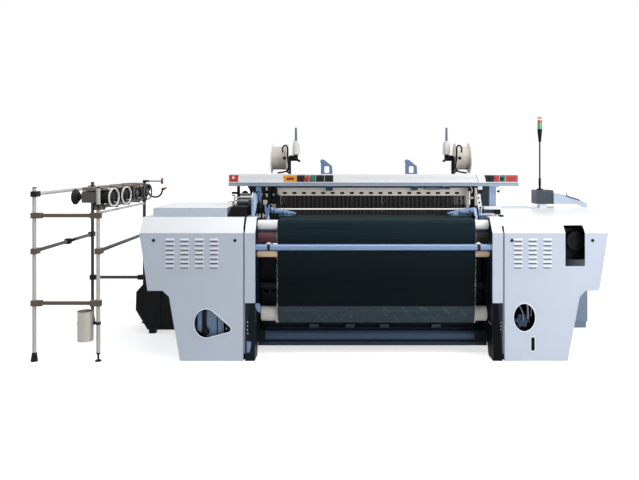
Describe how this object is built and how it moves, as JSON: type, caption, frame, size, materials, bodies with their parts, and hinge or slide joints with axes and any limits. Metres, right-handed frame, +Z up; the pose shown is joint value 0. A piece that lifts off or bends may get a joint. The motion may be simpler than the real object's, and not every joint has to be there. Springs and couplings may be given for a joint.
{
  "type": "power loom",
  "caption": "Rapier power loom with louvred side covers, dark cloth on its take-up, a harness under a sign beam, and a weft feeder stand at its left.",
  "frame": {"origin": "on the floor, midway between the side frames, in line with the fronts of the covers", "axes": "+X to the weaver's right along the machine, +Y from the weaver towards the warp beam, +Z up"},
  "size_m": [5.522, 1.691, 2.3079],
  "materials": {
    "cover_paint": "satin light grey-blue paint on sheet steel",
    "frame_paint": "satin pale blue paint on cast iron",
    "navy_paint": "satin navy paint",
    "blue_casting": "satin blue paint on castings",
    "white_paint": "satin white paint on sheet steel",
    "black_metal": "satin black paint",
    "black_plastic": "matt black plastic",
    "steel": "brushed",
    "bright_steel": "polished",
    "aluminium": "satin",
    "roller_white": "smooth white cover on a steel tube",
    "roller_maroon": "rough maroon grip cover",
    "roller_tan": "smooth tan cover",
    "cloth": "dark green-blue woven cotton",
    "yarn": "dark wound warp yarn",
    "core": "dull grey-beige tube",
    "cabinet_paint": "satin grey paint",
    "terminal": "matt dark grey plastic",
    "lamps": "green, red and amber lenses",
    "stand_paint": "worn light paint on tube",
    "tin": "dull tinned sheet",
    "feeder": "grey-brown and black plastic",
    "reel": "off-white plastic with wound yarn"
  },
  "bodies": {
    "machine": {"left_side_frame": "frame_paint", "right_side_frame": "frame_paint", "lower_crossbeam": "navy_paint", "rear_crossbeam": "navy_paint", "top_gantry": "navy_paint", "breast_beam": "blue_casting", "gearboxes": "black_metal", "left_front_cover": "cover_paint", "right_front_cover": "cover_paint", "strip_covers": "cover_paint", "left_top_box": "cover_paint", "cover_locks": "steel", "sign_beam": "white_paint", "guard_tube": "blue_casting", "guard_clips": "white_paint", "cloth": "cloth", "temples": "blue_casting", "rapier_guides": "black_plastic", "weft_selector": "black_metal", "harness_arms": "blue_casting", "reel_arms": "black_metal", "control_cabinet": "cabinet_paint", "operator_terminal": "terminal", "lamp_pole": "black_metal", "signal_lamps": "lamps", "dobby_housing": "black_metal", "main_motor": "black_metal", "warp_sheet": "yarn", "drop_wires": "steel", "stand_tubes": "stand_paint", "stand_fittings": "black_plastic", "waste_can": "tin", "feeder_bodies": "feeder"},
    "takeup": {"takeup_roller": "roller_maroon"},
    "breast": {"breast_roller": "roller_white"},
    "guide": {"guide_roller": "roller_tan"},
    "cloth_beam": {"cloth_roll": "cloth", "roll_core": "core"},
    "beam": {"warp_beam": "aluminium", "warp_yarn": "yarn"},
    "back_rest": {"back_rest_roller": "steel"},
    "hand": {"handwheel": "blue_casting"},
    "heald_1": {"heald_frame_1": "aluminium"},
    "heald_2": {"heald_frame_2": "aluminium"},
    "heald_3": {"heald_frame_3": "aluminium"},
    "heald_4": {"heald_frame_4": "aluminium"},
    "sley": {"sley": "steel", "reed": "steel"},
    "left_rapier": {"left_rapier_head": "bright_steel", "left_rapier_tape": "black_plastic"},
    "right_rapier": {"right_rapier_head": "bright_steel", "right_rapier_tape": "black_plastic"},
    "left_wheel": {"left_rapier_wheel": "black_metal"},
    "right_wheel": {"right_rapier_wheel": "black_metal"},
    "disc_1": {"feeder_disc_1": "black_plastic"},
    "disc_2": {"feeder_disc_2": "black_plastic"},
    "disc_3": {"feeder_disc_3": "black_plastic"},
    "disc_4": {"feeder_disc_4": "black_plastic"},
    "reel_left": {"left_reel": "reel"},
    "reel_right": {"right_reel": "reel"}
  },
  "joints": [
    {"name": "takeup_turn", "type": "hinge", "parent": "machine", "child": "takeup", "pos_m": [0, 0.1845, 1.107], "axis": [1, 0, 0], "continuous": true},
    {"name": "breast_turn", "type": "hinge", "parent": "machine", "child": "breast", "pos_m": [0, 0.175, 1.225], "axis": [1, 0, 0], "continuous": true},
    {"name": "guide_turn", "type": "hinge", "parent": "machine", "child": "guide", "pos_m": [0, 0.158, 0.952], "axis": [1, 0, 0], "continuous": true},
    {"name": "cloth_roll_turn", "type": "hinge", "parent": "machine", "child": "cloth_beam", "pos_m": [0, 0.25, 0.376], "axis": [1, 0, 0], "continuous": true},
    {"name": "handwheel_turn", "type": "hinge", "parent": "machine", "child": "hand", "pos_m": [1.37, 0.06, 0.352], "axis": [0, 1, 0], "continuous": true},
    {"name": "warp_beam_turn", "type": "hinge", "parent": "machine", "child": "beam", "pos_m": [0, 1.24, 0.52], "axis": [1, 0, 0], "continuous": true},
    {"name": "back_rest_turn", "type": "hinge", "parent": "machine", "child": "back_rest", "pos_m": [0, 1.5, 1.216], "axis": [1, 0, 0], "continuous": true},
    {"name": "heald_1_lift", "type": "slide", "parent": "machine", "child": "heald_1", "axis": [0, 0, 1], "range_m": [-0.045, 0.045]},
    {"name": "heald_2_lift", "type": "slide", "parent": "machine", "child": "heald_2", "axis": [0, 0, 1], "range_m": [-0.045, 0.045]},
    {"name": "heald_3_lift", "type": "slide", "parent": "machine", "child": "heald_3", "axis": [0, 0, 1], "range_m": [-0.045, 0.045]},
    {"name": "heald_4_lift", "type": "slide", "parent": "machine", "child": "heald_4", "axis": [0, 0, 1], "range_m": [-0.045, 0.045]},
    {"name": "sley_swing", "type": "hinge", "parent": "machine", "child": "sley", "pos_m": [0, 0.439, 0.6], "axis": [1, 0, 0], "range_deg": [0, 6.3]},
    {"name": "left_rapier_run", "type": "slide", "parent": "machine", "child": "left_rapier", "axis": [-1, 0, 0], "range_m": [-1.02, 0], "deforming": ["left_rapier_tape"]},
    {"name": "right_rapier_run", "type": "slide", "parent": "machine", "child": "right_rapier", "axis": [1, 0, 0], "range_m": [-1.02, 0], "deforming": ["right_rapier_tape"]},
    {"name": "left_wheel_turn", "type": "hinge", "parent": "machine", "child": "left_wheel", "pos_m": [-1.876, 0.47, 1.083], "axis": [0, 1, 0], "range_deg": [0, 291]},
    {"name": "right_wheel_turn", "type": "hinge", "parent": "machine", "child": "right_wheel", "pos_m": [1.876, 0.47, 1.083], "axis": [0, 1, 0], "range_deg": [-291, 0]},
    {"name": "disc_1_turn", "type": "hinge", "parent": "machine", "child": "disc_1", "pos_m": [-2.508, 0.1, 1.487], "axis": [0.9781, -0.2079, 0], "continuous": true},
    {"name": "disc_2_turn", "type": "hinge", "parent": "machine", "child": "disc_2", "pos_m": [-2.508, 0.45, 1.487], "axis": [0.9781, -0.2079, 0], "continuous": true},
    {"name": "disc_3_turn", "type": "hinge", "parent": "machine", "child": "disc_3", "pos_m": [-2.508, 0.8, 1.487], "axis": [0.9781, -0.2079, 0], "continuous": true},
    {"name": "disc_4_turn", "type": "hinge", "parent": "machine", "child": "disc_4", "pos_m": [-2.508, 1.15, 1.487], "axis": [0.9781, -0.2079, 0], "continuous": true},
    {"name": "left_reel_turn", "type": "hinge", "parent": "machine", "child": "reel_left", "pos_m": [-0.939, 0.895, 1.85], "axis": [1, 0, 0], "continuous": true},
    {"name": "right_reel_turn", "type": "hinge", "parent": "machine", "child": "reel_right", "pos_m": [0.969, 0.895, 1.85], "axis": [1, 0, 0], "continuous": true}
  ],
  "couplings": [
    {"joint": "breast_turn", "follows": "takeup_turn", "ratio": 1.3},
    {"joint": "guide_turn", "follows": "takeup_turn", "ratio": 2.0893},
    {"joint": "cloth_roll_turn", "follows": "takeup_turn", "ratio": 0.69643},
    {"joint": "handwheel_turn", "follows": "takeup_turn", "ratio": 4},
    {"joint": "back_rest_turn", "follows": "warp_beam_turn", "ratio": 4.6154},
    {"joint": "right_rapier_run", "follows": "left_rapier_run", "ratio": 1},
    {"joint": "left_wheel_turn", "follows": "left_rapier_run", "rad_per_m": -4.9677},
    {"joint": "right_wheel_turn", "follows": "left_rapier_run", "rad_per_m": 4.9677}
  ]
}
